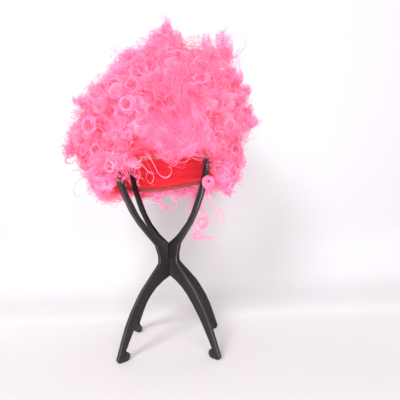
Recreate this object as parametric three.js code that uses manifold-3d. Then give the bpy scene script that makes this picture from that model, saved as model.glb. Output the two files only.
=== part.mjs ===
// A curly wig on its folding stand. Millimetres, +Z up, the wig's face opening towards -Y.
// Two flat plates slotted crosswise make the stand. Their four arms stretch a thin cap,
// an elastic band follows the cap's rim, and the curls are sewn round the cap in rows.
import * as THREE from "three";
import { mergeVertices } from "three/addons/utils/BufferGeometryUtils.js";
import Module from "manifold-3d";

const wasm = await Module();
wasm.setup();
const { Manifold } = wasm;

const degrees = THREE.MathUtils.degToRad;

// Stand
const PLATE_THICKNESS = 5;
const PLATE_BEVEL = 0.7;
const PLATE_TURN = Math.PI / 4;
const SLOT_CLEARANCE = 0.35;
const LOWER_CROTCH = 93;
const UPPER_CROTCH = 136;
const JOINT_HEIGHT = (LOWER_CROTCH + UPPER_CROTCH) / 2;
const WAIST = { halfWidth: 17.5, bottom: 112, top: 121 };
const TOE = { radius: 5.6, reach: 75.2, notchReach: 75.6, notchHeight: 12.6 };
const HEEL = { radius: 4.5, reach: 83.5 };
const LEG_SECTIONS = [
  { height: 84, inner: 20.5, outer: 45 },
  { height: 70, inner: 36.8, outer: 56 },
  { height: 50, inner: 53, outer: 69 },
  { height: 30, inner: 65.8, outer: 78.3 },
];
const ARM_SECTIONS = [
  { height: 152, inner: 25.5, outer: 37.5 },
  { height: 172, inner: 44.5, outer: 54 },
  { height: 190, inner: 55, outer: 64.5 },
  { height: 212, inner: 66.5, outer: 74.5 },
  { height: 234, inner: 73.2, outer: 80.5 },
  { height: 247, inner: 75, outer: 82 },
];
const DOME_HEIGHT = 247;
const ARM_OUTER = { reach: 82, rise: 98 };
const ARM_INNER = { reach: 75, rise: 90.5 };
const ARM_SWEEP = degrees(62);

// Cap and band
const GAP = 0.4;
const CAP_CLEARANCE = 1.5;
const CAP_WALL = 1.6;
const CAP_SQUARENESS = 4;
const CAP_COLUMNS = 24;
const CAP_ROWS = 11;
const RIM = { middle: 233, frontRise: 18, rightRise: 7 };
const BAND_HEIGHT = 6;
const BAND_WALL = 1.8;
const VOID_FLOOR = 150;

// Hair: half-widths of the outer form, measured from the stand's axis
const HAIR_SECTIONS = [
  { height: 186, left: 86, front: 94, right: 86, back: 90 },
  { height: 205, left: 92, front: 96, right: 91, back: 97 },
  { height: 225, left: 102, front: 102, right: 98, back: 106 },
  { height: 245, left: 119, front: 110, right: 102, back: 114 },
  { height: 270, left: 129, front: 115, right: 106, back: 118 },
  { height: 295, left: 124, front: 116, right: 119, back: 119 },
  { height: 320, left: 110, front: 111, right: 117, back: 116 },
  { height: 345, left: 94, front: 97, right: 107, back: 106 },
  { height: 370, left: 71, front: 76, right: 95, back: 86 },
  { height: 390, left: 54, front: 54, right: 78, back: 60 },
  { height: 405, left: 34, front: 30, right: 46, back: 34 },
  { height: 414, left: 0, front: 0, right: 0, back: 0 },
];
const HAIR_CENTRE = new THREE.Vector3(0, 0, 290);
const HAIR_COLUMNS = 24;
const HAIR_ROWS = 9;
const LOCK_DEPTH = { hem: 8, full: 17, hemLevel: 200, fullLevel: 265 };
const HEM = { front: 242, side: 202, fullAt: 46, clearAt: 66, rightRise: 6 };
// Sloping seams between the rows of hair, as angles above the level of the hair's centre
const ROW_SEAMS = { crown: 50, upper: 14, middle: -15 };

// Rings of sewn curls: height on the outer form, curls in the ring, arc radius, thickness,
// droop in degrees, and the half-angle left open round the face
const CURL_RINGS = [
  { height: 404, curls: 4, arc: 15, thick: 9.5, droop: 0, open: 0 },
  { height: 388, curls: 8, arc: 16, thick: 10.5, droop: 0, open: 0 },
  { height: 360, curls: 11, arc: 17, thick: 11, droop: 0, open: 0 },
  { height: 328, curls: 11, arc: 17, thick: 11, droop: 0, open: 0 },
  { height: 298, curls: 12, arc: 17, thick: 11, droop: 0, open: 0 },
  { height: 268, curls: 11, arc: 17, thick: 11, droop: 8, open: 0 },
  { height: 246, curls: 11, arc: 15, thick: 10, droop: 20, open: 0 },
  { height: 218, curls: 11, arc: 14, thick: 9, droop: 50, open: 62 },
];
const CURL_SWEEP = degrees(240);
const LOCK_SIDES = 5;
const LOCK_STEPS = 6;
const CURL_TAPER = 0.4;
const CURL_LEAN = { least: degrees(30), most: degrees(62) };
const TUFT_TAPER = 0.9;
const SMALLEST_DETAIL = 1.8;
const SLIVER = 0.2;
const DRAWN_IN = 0.03;

// Longer tufts that stand out of the outline: from root to tip, with a sideways bow
const TUFTS = [
  { name: "top", from: [0, -4, 378], to: [13, -2, 433], bow: -4, thick: 20 },
  { name: "top_left", from: [-30, -8, 370], to: [-43, -10, 406], bow: 3, thick: 18 },
  { name: "right_inner", from: [44, -12, 366], to: [62, -14, 407], bow: -3, thick: 16 },
  { name: "upper_right", from: [58, -10, 358], to: [88, -12, 411], bow: -4, thick: 20 },
  { name: "right_outer", from: [76, -4, 348], to: [104, -8, 390], bow: 4, thick: 17 },
];

const material = (name, color, roughness) =>
  Object.assign(new THREE.MeshStandardMaterial({ color, roughness, metalness: 0 }), { name });
const BLACK_PLASTIC = () => material("black_plastic", "#49444a", 0.42);
const RED_NET = () => material("red_net", "#dc2a3c", 0.85);
const BROWN_ELASTIC = () => material("brown_elastic", "#7d5a3c", 0.8);
const PINK_HAIR = () => material("pink_hair", "#ff7fae", 0.6);

// A repeatable scatter between 0 and 1 for curl number i, channel k.
function scatter(i, k) {
  const wave = Math.sin((i + 1) * 12.9898 + (k + 1) * 78.233) * 43758.5453;
  return wave - Math.floor(wave);
}

// The value of one column of a table of sections at a height, straight between rows.
function sectionAt(sections, height, column) {
  const after = sections.findIndex((row) => row.height >= height);
  if (after === 0) return sections[0][column];
  if (after < 0) return sections[sections.length - 1][column];
  const low = sections[after - 1];
  const high = sections[after];
  const share = (height - low.height) / (high.height - low.height);
  return THREE.MathUtils.lerp(low[column], high[column], share);
}

function polar(reach, azimuth, height) {
  return new THREE.Vector3(reach * Math.cos(azimuth), reach * Math.sin(azimuth), height);
}

function solidOf(geometry) {
  const bare = geometry.clone();
  bare.deleteAttribute("normal");
  bare.deleteAttribute("uv");
  const merged = mergeVertices(bare, 1e-3);
  return new Manifold(
    new wasm.Mesh({
      numProp: 3,
      vertProperties: new Float32Array(merged.attributes.position.array),
      triVerts: new Uint32Array(merged.index.array),
    }),
  );
}

// The skin is drawn in by a hair's breadth, so that locks which only touch along an edge part.
function geometryOf(solid) {
  const mesh = solid.getMesh();
  const geometry = new THREE.BufferGeometry();
  const points = new THREE.BufferAttribute(mesh.vertProperties, 3);
  geometry.setAttribute("position", points);
  geometry.setIndex(new THREE.BufferAttribute(mesh.triVerts, 1));
  geometry.computeVertexNormals();
  const normals = geometry.getAttribute("normal");
  for (let i = 0; i < points.count; i++) {
    const point = new THREE.Vector3().fromBufferAttribute(points, i);
    point.addScaledVector(new THREE.Vector3().fromBufferAttribute(normals, i), -DRAWN_IN);
    points.setXYZ(i, point.x, point.y, point.z);
  }
  return geometry;
}

function largestBody(solid) {
  const bodies = solid.decompose();
  return bodies.reduce((best, body) => (body.volume() > best.volume() ? body : best));
}

// A closed skin over rings of points. Each ring runs round +Z, the first ring is the top.
// With poles the ends close on a point each, without them the last ring joins the first.
function ringSkin(rings, topPole, endPole) {
  const columns = rings[0].length;
  const positions = [];
  const quads = topPole ? rings.length - 1 : rings.length;
  const triangle = (a, b, c) => positions.push(...a.toArray(), ...b.toArray(), ...c.toArray());
  for (let i = 0; i < columns; i++) {
    const next = (i + 1) % columns;
    for (let j = 0; j < quads; j++) {
      const upper = rings[j];
      const lower = rings[(j + 1) % rings.length];
      triangle(upper[i], lower[i], lower[next]);
      triangle(upper[i], lower[next], upper[next]);
    }
    if (topPole) {
      const last = rings[rings.length - 1];
      triangle(topPole, rings[0][i], rings[0][next]);
      triangle(last[i], endPole, last[next]);
    }
  }
  const geometry = new THREE.BufferGeometry();
  geometry.setAttribute("position", new THREE.Float32BufferAttribute(positions, 3));
  return mergeVertices(geometry, 1e-4);
}

const azimuths = (columns, shift = 0) =>
  Array.from({ length: columns }, (_, i) => ((i + shift) / columns) * 2 * Math.PI);

// Stand plates

function halfOutline(slotAbove) {
  const slot = PLATE_THICKNESS / 2 + SLOT_CLEARANCE;
  const start = new THREE.Vector2(slotAbove ? 0 : slot, LOWER_CROTCH);
  const end = new THREE.Vector2(slotAbove ? slot : 0, UPPER_CROTCH);
  const edge = (sections, column) => sections.map((row) => new THREE.Vector2(row[column], row.height));
  const heelTop = new THREE.Vector2(HEEL.reach + HEEL.radius, HEEL.radius);
  const curves = [
    new THREE.SplineCurve([
      start,
      ...edge(LEG_SECTIONS, "inner"),
      new THREE.Vector2(TOE.notchReach, TOE.notchHeight),
    ]).getPoints(8),
    new THREE.EllipseCurve(
      TOE.reach, TOE.radius, TOE.radius, TOE.radius, degrees(105), degrees(270),
    ).getPoints(4),
    new THREE.EllipseCurve(
      HEEL.reach, HEEL.radius, HEEL.radius, HEEL.radius, degrees(-90), 0,
    ).getPoints(3),
    new THREE.SplineCurve([
      heelTop,
      ...edge(LEG_SECTIONS, "outer").reverse(),
      new THREE.Vector2(WAIST.halfWidth + 8, WAIST.bottom - 9),
      new THREE.Vector2(WAIST.halfWidth, WAIST.bottom),
    ]).getPoints(8),
    new THREE.SplineCurve([
      new THREE.Vector2(WAIST.halfWidth, WAIST.top),
      new THREE.Vector2(WAIST.halfWidth + 6, WAIST.top + 17),
      ...edge(ARM_SECTIONS, "outer"),
    ]).getPoints(8),
    new THREE.EllipseCurve(0, DOME_HEIGHT, ARM_OUTER.reach, ARM_OUTER.rise, 0, ARM_SWEEP).getPoints(4),
    armTip(),
    new THREE.EllipseCurve(0, DOME_HEIGHT, ARM_INNER.reach, ARM_INNER.rise, 0, ARM_SWEEP)
      .getPoints(5)
      .reverse(),
    new THREE.SplineCurve([...edge(ARM_SECTIONS, "inner").reverse(), end]).getPoints(8),
  ];
  const slotEnd = JOINT_HEIGHT + (slotAbove ? 0 : SLOT_CLEARANCE);
  const joined = curves.flat();
  if (slotAbove) joined.push(new THREE.Vector2(slot, slotEnd));
  else joined.unshift(new THREE.Vector2(slot, slotEnd));
  return joined.filter((point, i) => i === 0 || point.distanceTo(joined[i - 1]) > 0.05);
}

// The rounded end of an arm, between its outer and its inner edge.
function armTip() {
  const onArc = (arc) =>
    new THREE.Vector2(arc.reach * Math.cos(ARM_SWEEP), DOME_HEIGHT + arc.rise * Math.sin(ARM_SWEEP));
  const outer = onArc(ARM_OUTER);
  const inner = onArc(ARM_INNER);
  const middle = outer.clone().add(inner).multiplyScalar(0.5);
  const radius = outer.distanceTo(inner) / 2;
  const start = Math.atan2(outer.y - middle.y, outer.x - middle.x);
  return new THREE.EllipseCurve(middle.x, middle.y, radius, radius, start, start + Math.PI).getPoints(3);
}

function platePiece(name, slotAbove, turn) {
  const right = halfOutline(slotAbove);
  const left = right.map((point) => new THREE.Vector2(-point.x, point.y)).reverse();
  const whole = [...right, ...left];
  const outline = whole.filter(
    (point, i) => point.distanceTo(whole[(i + whole.length - 1) % whole.length]) > 0.05,
  );
  const geometry = new THREE.ExtrudeGeometry(new THREE.Shape(outline), {
    depth: PLATE_THICKNESS - 2 * PLATE_BEVEL,
    bevelThickness: PLATE_BEVEL,
    bevelSize: PLATE_BEVEL,
    bevelOffset: -PLATE_BEVEL,
    bevelSegments: 1,
    curveSegments: 1,
  });
  geometry.translate(0, 0, PLATE_BEVEL - PLATE_THICKNESS / 2);
  const plate = new THREE.Mesh(geometry, BLACK_PLASTIC());
  plate.name = name;
  plate.rotation.x = Math.PI / 2;
  const turned = new THREE.Group();
  turned.rotation.z = turn;
  turned.add(plate);
  return turned;
}

// Cap: a dome drawn taut over the four arms, so its section is a rounded square with the
// corners on the arms. It closes at the crown and ends at the slanting rim.

const rimHeight = (azimuth) =>
  RIM.middle - RIM.frontRise * Math.sin(azimuth) + RIM.rightRise * Math.cos(azimuth);

// How far the rounded square reaches at an azimuth, 1 at its corners.
function squareShare(azimuth) {
  const reach = (angle) =>
    (Math.abs(Math.cos(angle)) ** CAP_SQUARENESS + Math.abs(Math.sin(angle)) ** CAP_SQUARENESS) **
    (-1 / CAP_SQUARENESS);
  return reach(azimuth) / reach(PLATE_TURN);
}

function capPoint(azimuth, height, offset) {
  const grown = CAP_CLEARANCE + offset;
  const onDome = height > DOME_HEIGHT;
  const lift = Math.min(1, (height - DOME_HEIGHT) / (ARM_OUTER.rise + grown));
  const corner = onDome
    ? (ARM_OUTER.reach + grown) * Math.sqrt(1 - lift * lift)
    : sectionAt(ARM_SECTIONS, height, "outer") + grown;
  return polar(corner * squareShare(azimuth), azimuth, height);
}

// Heights down a meridian, closer together at the crown where the dome flattens.
function meridian(azimuth, offset, lowest) {
  const crown = ARM_OUTER.rise + CAP_CLEARANCE + offset;
  const drop = Math.acos((lowest - DOME_HEIGHT) / crown);
  return Array.from(
    { length: CAP_ROWS },
    (_, j) => DOME_HEIGHT + crown * Math.cos((drop * (j + 1)) / CAP_ROWS),
  );
}

const crownPole = (offset) =>
  new THREE.Vector3(0, 0, DOME_HEIGHT + ARM_OUTER.rise + CAP_CLEARANCE + offset);

function capRings(offset) {
  const columns = azimuths(CAP_COLUMNS);
  return Array.from({ length: CAP_ROWS }, (_, j) =>
    columns.map((azimuth) =>
      capPoint(azimuth, meridian(azimuth, offset, rimHeight(azimuth))[j], offset),
    ),
  );
}

function capGeometry() {
  const outer = capRings(CAP_WALL);
  const inner = capRings(0).reverse();
  return ringSkin([...outer, ...inner], crownPole(CAP_WALL), crownPole(0));
}

function bandGeometry() {
  const columns = azimuths(CAP_COLUMNS);
  const ring = (drop, offset) =>
    columns.map((azimuth) => capPoint(azimuth, rimHeight(azimuth) - drop, offset));
  const low = GAP + BAND_HEIGHT;
  const inside = CAP_WALL - BAND_WALL;
  return ringSkin([ring(GAP, CAP_WALL), ring(low, CAP_WALL), ring(low, inside), ring(GAP, inside)]);
}

// The room taken by the cap, the band and the open space under them, which the hair keeps clear of.
function capRoom() {
  const offset = CAP_WALL + GAP;
  const rings = capRings(offset);
  const floor = rings[CAP_ROWS - 1].map((point) => new THREE.Vector3(point.x, point.y, VOID_FLOOR));
  return ringSkin([...rings, floor], crownPole(offset), new THREE.Vector3(0, 0, VOID_FLOOR));
}

// Hair

function hairReach(height, azimuth) {
  const sides = ["right", "back", "left", "front"];
  const turn = (((azimuth / (Math.PI / 2)) % 4) + 4) % 4;
  const quarter = Math.floor(turn);
  const blend = (1 - Math.cos((turn - quarter) * Math.PI)) / 2;
  return THREE.MathUtils.lerp(
    sectionAt(HAIR_SECTIONS, height, sides[quarter]),
    sectionAt(HAIR_SECTIONS, height, sides[(quarter + 1) % 4]),
    blend,
  );
}

// Degrees between an azimuth and the middle of the face opening.
function offFront(azimuth) {
  const turn = Math.atan2(-Math.cos(azimuth), -Math.sin(azimuth));
  return Math.abs(THREE.MathUtils.radToDeg(turn));
}

function hemHeight(azimuth) {
  const fall = THREE.MathUtils.smoothstep(offFront(azimuth), HEM.fullAt, HEM.clearAt);
  return THREE.MathUtils.lerp(HEM.front, HEM.side, fall) + HEM.rightRise * Math.cos(azimuth);
}

const formPoint = (height, azimuth) => polar(hairReach(height, azimuth), azimuth, height);

// Straight in to the axis below the hair's centre, and to the centre above it.
function outward(point) {
  const target = new THREE.Vector3(0, 0, Math.min(point.z, HAIR_CENTRE.z));
  return point.clone().sub(target).normalize();
}

function lockDepth(height) {
  const share = THREE.MathUtils.smoothstep(height, LOCK_DEPTH.hemLevel, LOCK_DEPTH.fullLevel);
  return THREE.MathUtils.lerp(LOCK_DEPTH.hem, LOCK_DEPTH.full, share);
}

// The point on the backing, which lies under the outer form by the depth of the locks.
function backingPoint(height, azimuth) {
  const point = formPoint(height, azimuth);
  return point.addScaledVector(outward(point), -lockDepth(height));
}

function backing() {
  const top = HAIR_SECTIONS[HAIR_SECTIONS.length - 1].height;
  const columns = azimuths(HAIR_COLUMNS, 0.37);
  const rings = Array.from({ length: HAIR_ROWS }, (_, j) => {
    const fall = 1 - Math.cos(((j + 1) / HAIR_ROWS) * (Math.PI / 2) * 1.15);
    const share = fall / (1 - Math.cos((Math.PI / 2) * 1.15));
    return columns.map((azimuth) =>
      backingPoint(THREE.MathUtils.lerp(top, hemHeight(azimuth), share), azimuth),
    );
  });
  const topPole = new THREE.Vector3(0, 0, top - LOCK_DEPTH.full);
  return ringSkin(rings, topPole, new THREE.Vector3(0, 0, HEM.front - 20));
}

// A lock: a turned spindle bent along a curve.
function lock(curve, thick, taper) {
  const profile = Array.from({ length: LOCK_STEPS + 1 }, (_, j) => {
    const along = j / LOCK_STEPS;
    const ended = j === 0 || j === LOCK_STEPS;
    return new THREE.Vector2(ended ? 0 : thick * (1 - taper * along), along);
  });
  const spindle = new THREE.LatheGeometry(profile, LOCK_SIDES);
  const frames = curve.computeFrenetFrames(LOCK_STEPS);
  const points = spindle.getAttribute("position");
  for (let i = 0; i < points.count; i++) {
    const along = points.getY(i);
    const step = Math.round(along * LOCK_STEPS);
    const bent = curve
      .getPointAt(along)
      .addScaledVector(frames.normals[step], points.getX(i))
      .addScaledVector(frames.binormals[step], -points.getZ(i));
    points.setXYZ(i, bent.x, bent.y, bent.z);
  }
  return solidOf(spindle);
}

// A curl rises from the backing, arches over and turns back in.
function curl(ring, i, number) {
  const place = i + 0.5 * (number % 2) + 0.35 * (scatter(number, i) - 0.5);
  const azimuth = (place / ring.curls) * 2 * Math.PI;
  const height = ring.height + 9 * (scatter(i, number + 3) - 0.5);
  const root = backingPoint(height, azimuth);
  const round = new THREE.Vector3(-Math.sin(azimuth), Math.cos(azimuth), 0);
  const out = outward(root).applyAxisAngle(round, degrees(ring.droop));
  const along = round.clone().applyAxisAngle(out, scatter(i, number + 7) * 2 * Math.PI);
  const side = scatter(i, number + 13) < 0.5 ? -1 : 1;
  const lean = side * THREE.MathUtils.lerp(CURL_LEAN.least, CURL_LEAN.most, scatter(i, number + 11));
  const up = out.clone().applyAxisAngle(along, lean);
  const bend = Array.from({ length: LOCK_STEPS + 1 }, (_, j) => {
    const turn = (j / LOCK_STEPS) * CURL_SWEEP;
    return root
      .clone()
      .addScaledVector(up, ring.arc * Math.sin(turn))
      .addScaledVector(along, ring.arc * (0.4 - Math.cos(turn)));
  });
  return lock(new THREE.CatmullRomCurve3(bend), ring.thick, CURL_TAPER);
}

function tuft(row) {
  const from = new THREE.Vector3(...row.from);
  const to = new THREE.Vector3(...row.to);
  const middle = from.clone().lerp(to, 0.55);
  middle.x += row.bow;
  return lock(new THREE.CatmullRomCurve3([from, middle, to]), row.thick, TUFT_TAPER);
}

function allHair() {
  const locks = TUFTS.map(tuft);
  CURL_RINGS.forEach((ring, number) => {
    for (let i = 0; i < ring.curls; i++) {
      const azimuth = ((i + 0.5 * (number % 2)) / ring.curls) * 2 * Math.PI;
      if (offFront(azimuth) >= ring.open) locks.push(curl(ring, i, number));
    }
  });
  const fused = Manifold.union([solidOf(backing()), ...locks]);
  return fused.asOriginal().simplify(SMALLEST_DETAIL).subtract(solidOf(capRoom()));
}

// Everything above a sloping seam round the axis, lowered or raised by half of the gap.
function aboveSeam(angle, side) {
  const far = 400;
  const slope = degrees(angle);
  const tip = HAIR_CENTRE.z + (side * GAP) / 2 / Math.cos(slope);
  const reach = far * Math.cos(slope);
  const profile = [
    new THREE.Vector2(0, tip),
    new THREE.Vector2(reach, tip + far * Math.sin(slope)),
    new THREE.Vector2(reach, tip + 2 * far),
    new THREE.Vector2(0, tip + 2 * far),
  ];
  const turned = new THREE.LatheGeometry(profile, HAIR_COLUMNS, degrees(4));
  return solidOf(turned.rotateX(Math.PI / 2));
}

function piece(name, geometry, look) {
  const mesh = new THREE.Mesh(geometry, look);
  mesh.name = name;
  return mesh;
}

const hairPiece = (name, solid) =>
  piece(name, geometryOf(largestBody(solid.asOriginal().simplify(SLIVER))), PINK_HAIR());

const group = new THREE.Group();
group.name = "wig_on_stand";

const stand = new THREE.Group();
stand.add(platePiece("stand_plate_slotted_above", true, PLATE_TURN));
stand.add(platePiece("stand_plate_slotted_below", false, -PLATE_TURN));
group.add(stand);

const wig = new THREE.Group();
const hair = allHair();
const { crown, upper, middle } = ROW_SEAMS;
wig.add(piece("wig_cap", capGeometry(), RED_NET()));
wig.add(piece("rim_band", bandGeometry(), BROWN_ELASTIC()));
const between = (low, high) => hair.intersect(aboveSeam(low, 1)).subtract(aboveSeam(high, -1));
wig.add(hairPiece("hair_crown", hair.intersect(aboveSeam(crown, 1))));
wig.add(hairPiece("hair_upper_weft", between(upper, crown)));
wig.add(hairPiece("hair_middle_weft", between(middle, upper)));
wig.add(hairPiece("hair_rim_weft", hair.subtract(aboveSeam(middle, -1))));
group.add(wig);

// The origin is the middle of the whole footprint, at floor level.
const box = new THREE.Box3().setFromObject(group);
const middleFoot = box.getCenter(new THREE.Vector3()).setZ(box.min.z);
for (const half of [stand, wig]) half.position.sub(middleFoot);

export default group;
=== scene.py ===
import math
from collections import namedtuple
from types import SimpleNamespace as Values

import bpy
import numpy as np
from mathutils import Matrix, Vector


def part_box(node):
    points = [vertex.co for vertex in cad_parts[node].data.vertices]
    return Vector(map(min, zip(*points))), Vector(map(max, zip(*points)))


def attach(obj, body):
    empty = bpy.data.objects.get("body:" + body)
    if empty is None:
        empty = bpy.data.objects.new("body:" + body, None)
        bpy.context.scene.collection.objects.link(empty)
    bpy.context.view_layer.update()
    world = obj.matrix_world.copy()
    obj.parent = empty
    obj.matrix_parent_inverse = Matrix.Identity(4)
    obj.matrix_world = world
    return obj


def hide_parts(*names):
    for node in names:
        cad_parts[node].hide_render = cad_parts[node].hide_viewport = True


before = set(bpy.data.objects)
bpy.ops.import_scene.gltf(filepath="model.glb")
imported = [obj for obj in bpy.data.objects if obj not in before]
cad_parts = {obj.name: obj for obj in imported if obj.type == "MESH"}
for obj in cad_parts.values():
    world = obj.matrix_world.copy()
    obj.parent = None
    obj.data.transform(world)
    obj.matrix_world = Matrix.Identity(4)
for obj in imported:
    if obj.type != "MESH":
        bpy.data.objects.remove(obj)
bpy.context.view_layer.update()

# Sizes are millimetres from the stand's axis and the floor, as in the part; those of the stage are
# metres. The axis stands in the middle of a plate's box.
PLATES = ["stand_plate_slotted_above", "stand_plate_slotted_below"]
plate_low, plate_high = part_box("stand_plate_slotted_above")
AXIS = np.array([(plate_low.x + plate_high.x) / 2, (plate_low.y + plate_high.y) / 2, 0.0])
MM = 0.001
TURN = 2 * np.pi

# Outer form of the hair: reach from the axis at each height
HAIR_HEIGHT = [186, 205, 225, 245, 270, 295, 320, 345, 370, 390, 405, 414]
HAIR_REACH = {
    "right": [86, 91, 98, 102, 106, 119, 117, 107, 95, 78, 46, 0],
    "back": [90, 97, 106, 114, 118, 119, 116, 106, 86, 60, 34, 0],
    "left": [86, 92, 102, 119, 129, 124, 110, 94, 71, 54, 34, 0],
    "front": [94, 96, 102, 110, 115, 116, 111, 97, 76, 54, 30, 0],
}
HAIR_TOP = HAIR_HEIGHT[-1]
HAIR_CENTRE = np.array([0.0, 0.0, 290.0])
FORM_FARTHEST = 200.0
FORM_HALVINGS = 26

# Lower edge of the hair: high over the face opening, and down to the sides between full_at and
# clear_at degrees off the front
HEM = Values(front=242, side=202, full_at=40, clear_at=56, right_rise=6)
HEM_NOTCHES = [Values(at=-60, wide=12, rise=7), Values(at=-121, wide=8, rise=4)]
HEM_CLEARANCE = Values(rise=9, between=(36, 56))
# Elevations from the hair's centre, in degrees, where its rows meet
ROW_SEAMS = [50, 14, -15]

# Cap: drawn taut over the four arms
ARM_HEIGHT = [152, 172, 190, 212, 234, 247]
ARM_OUTER = [37.5, 54, 64.5, 74.5, 80.5, 82]
DOME_HEIGHT = 247
DOME_REACH = 82
DOME_RISE = 98
CAP_CLEARANCE = 1.5
CAP_WALL = 1.6
CAP_SQUARENESS = 4
RIM = Values(middle=233, front_rise=18, right_rise=7)
GAP = 0.4
BAND_HEIGHT = 6
BAND_WALL = 1.8

# The rows of hair share a seed, and each piece of hair after them has its own
SEEDS = {
    "rows": 11, "ring_curls": 12, "stray_fibres": 13, "tufts": 14, "loose_locks": 15,
    "rolled_curls": 16, "brushed_locks": 17,
}
rng = np.random.default_rng(SEEDS["rows"])


def reseed(name):
    global rng
    rng = np.random.default_rng(SEEDS[name])


def row(points):
    """Millimetres from the stand's axis to metres in the row frame."""
    return np.asarray(points) * MM + AXIS


def unit(vectors):
    return vectors / np.maximum(np.linalg.norm(vectors, axis=-1, keepdims=True), 1e-9)


def smoothstep(x, low, high):
    t = np.clip((x - low) / (high - low), 0, 1)
    return t * t * (3 - 2 * t)


def around(columns):
    """The azimuths of a ring's columns."""
    return np.arange(columns) / columns * TURN


def azimuth_of(point):
    return np.arctan2(point[..., 1], point[..., 0])


def reach_of(point):
    return np.hypot(point[..., 0], point[..., 1])


def at_reach(reach, azimuth, height):
    return np.stack([reach * np.cos(azimuth), reach * np.sin(azimuth), height], -1)


# Forms


def hair_reach(height, azimuth):
    turn = np.mod(azimuth / (np.pi / 2), 4)
    quarter = np.floor(turn).astype(int)
    blend = (1 - np.cos((turn - quarter) * np.pi)) / 2
    sides = np.stack([np.interp(height, HAIR_HEIGHT, reach) for reach in HAIR_REACH.values()])
    first = np.take_along_axis(sides, (quarter % 4)[None], 0)[0]
    second = np.take_along_axis(sides, ((quarter + 1) % 4)[None], 0)[0]
    return first + (second - first) * blend


def off_front(azimuth):
    """Degrees between an azimuth and the middle of the face opening."""
    return np.abs(np.degrees(np.arctan2(-np.cos(azimuth), -np.sin(azimuth))))


def hem_height(azimuth):
    """The lower edge of the hair, raised a little over the two front arms."""
    fall = smoothstep(off_front(azimuth), HEM.full_at, HEM.clear_at)
    level = HEM.front + (HEM.side - HEM.front) * fall + HEM.right_rise * np.cos(azimuth)
    for notch in HEM_NOTCHES:
        away = np.mod(np.degrees(azimuth) - notch.at + 180, 360) - 180
        level = level + notch.rise * np.exp(-((away / notch.wide) ** 2))
    return level


def form_point(direction):
    """The point on the hair's outer form in a direction from its centre."""
    near, far = np.zeros(len(direction)), np.full(len(direction), FORM_FARTHEST)
    for _ in range(FORM_HALVINGS):
        middle = (near + far) / 2
        point = HAIR_CENTRE + direction * middle[:, None]
        reach = hair_reach(point[:, 2], azimuth_of(point))
        inside = (reach_of(point) < reach) & (point[:, 2] < HAIR_TOP)
        near, far = np.where(inside, middle, near), np.where(inside, far, middle)
    return HAIR_CENTRE + direction * near[:, None]


def outward(point):
    """Away from the axis below the hair's centre, and from the centre above it."""
    target = np.zeros_like(point)
    target[..., 2] = np.minimum(point[..., 2], HAIR_CENTRE[2])
    return unit(point - target)


def rim_height(azimuth):
    return RIM.middle - RIM.front_rise * np.sin(azimuth) + RIM.right_rise * np.cos(azimuth)


def square_share(azimuth):
    """How far the cap's rounded square section reaches at an azimuth, 1 at its corners."""

    def reach(angle):
        power = np.abs(np.cos(angle)) ** CAP_SQUARENESS + np.abs(np.sin(angle)) ** CAP_SQUARENESS
        return power ** (-1 / CAP_SQUARENESS)

    return reach(azimuth) / reach(np.pi / 4)


def cap_point(azimuth, height, offset):
    """The point of the cap at an azimuth and a height, offset outwards from its inner face."""
    grown = CAP_CLEARANCE + offset
    lift = np.clip((height - DOME_HEIGHT) / (DOME_RISE + grown), 0, 1)
    dome = (DOME_REACH + grown) * np.sqrt(1 - lift * lift)
    arms = np.interp(height, ARM_HEIGHT, ARM_OUTER) + grown
    return at_reach(np.where(height > DOME_HEIGHT, dome, arms) * square_share(azimuth), azimuth, height)


def outside_cap(points):
    """Strands that would pass through the cap or its rim, moved to lie on the outside of it."""
    azimuth = azimuth_of(points)
    height = np.clip(points[..., 2], rim_height(azimuth) - BAND_HEIGHT, DOME_HEIGHT + DOME_RISE)
    least = reach_of(cap_point(azimuth, height, CAP_WALL + 2 * GAP))
    moved = points.copy()
    moved[..., :2] *= np.maximum(1, least / np.maximum(reach_of(points), 1))[..., None]
    return moved


# Meshes


def mesh_of(name, points, quads, tones=None):
    """A smooth mesh of quads from points in millimetres, with a tone for each point of hair."""
    mesh = bpy.data.meshes.new(name)
    mesh.vertices.add(len(points))
    mesh.vertices.foreach_set("co", row(points).astype(np.float32).ravel())
    mesh.loops.add(quads.size)
    mesh.loops.foreach_set("vertex_index", quads.astype(np.int32).ravel())
    mesh.polygons.add(len(quads))
    mesh.polygons.foreach_set("loop_start", np.arange(0, quads.size, 4, dtype=np.int32))
    mesh.update(calc_edges=True)
    mesh.polygons.foreach_set("use_smooth", np.ones(len(quads), dtype=bool))
    if tones is not None:
        layer = mesh.attributes.new("tone", "FLOAT", "POINT")
        layer.data.foreach_set("value", tones.astype(np.float32).ravel())
    mesh.validate()
    piece = bpy.data.objects.new(name, mesh)
    bpy.context.scene.collection.objects.link(piece)
    return piece


def ring_mesh(name, rings, tones=None):
    """A mesh over rings of points, closed round each ring and from the last ring to the first."""
    rows, columns = rings.shape[:2]
    j, i = np.meshgrid(np.arange(rows), np.arange(columns), indexing="ij")
    j1, i1 = (j + 1) % rows * columns, (i + 1) % columns
    j = j * columns
    quads = np.stack([j + i, j1 + i, j1 + i1, j + i1], -1).reshape(-1, 4)
    return mesh_of(name, rings.reshape(-1, 3), quads, tones)


def ribbons(points, width, facing, tone):
    """Flat strands along rows of points: returns the points, quads and tones of all."""
    strands, steps = points.shape[:2]
    along = np.gradient(points, axis=1)
    across = unit(np.cross(along, facing)) * (width / 2)[..., None]
    both = np.stack([points - across, points + across], 2).reshape(-1, 3)
    start = (np.arange(strands)[:, None] * steps + np.arange(steps - 1)[None]) * 2
    quads = np.stack([start, start + 1, start + 3, start + 2], -1).reshape(-1, 4)
    tones = np.broadcast_to(np.clip(tone, 0, 1), (strands, steps))
    return both, quads, np.repeat(tones.reshape(-1), 2)


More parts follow.
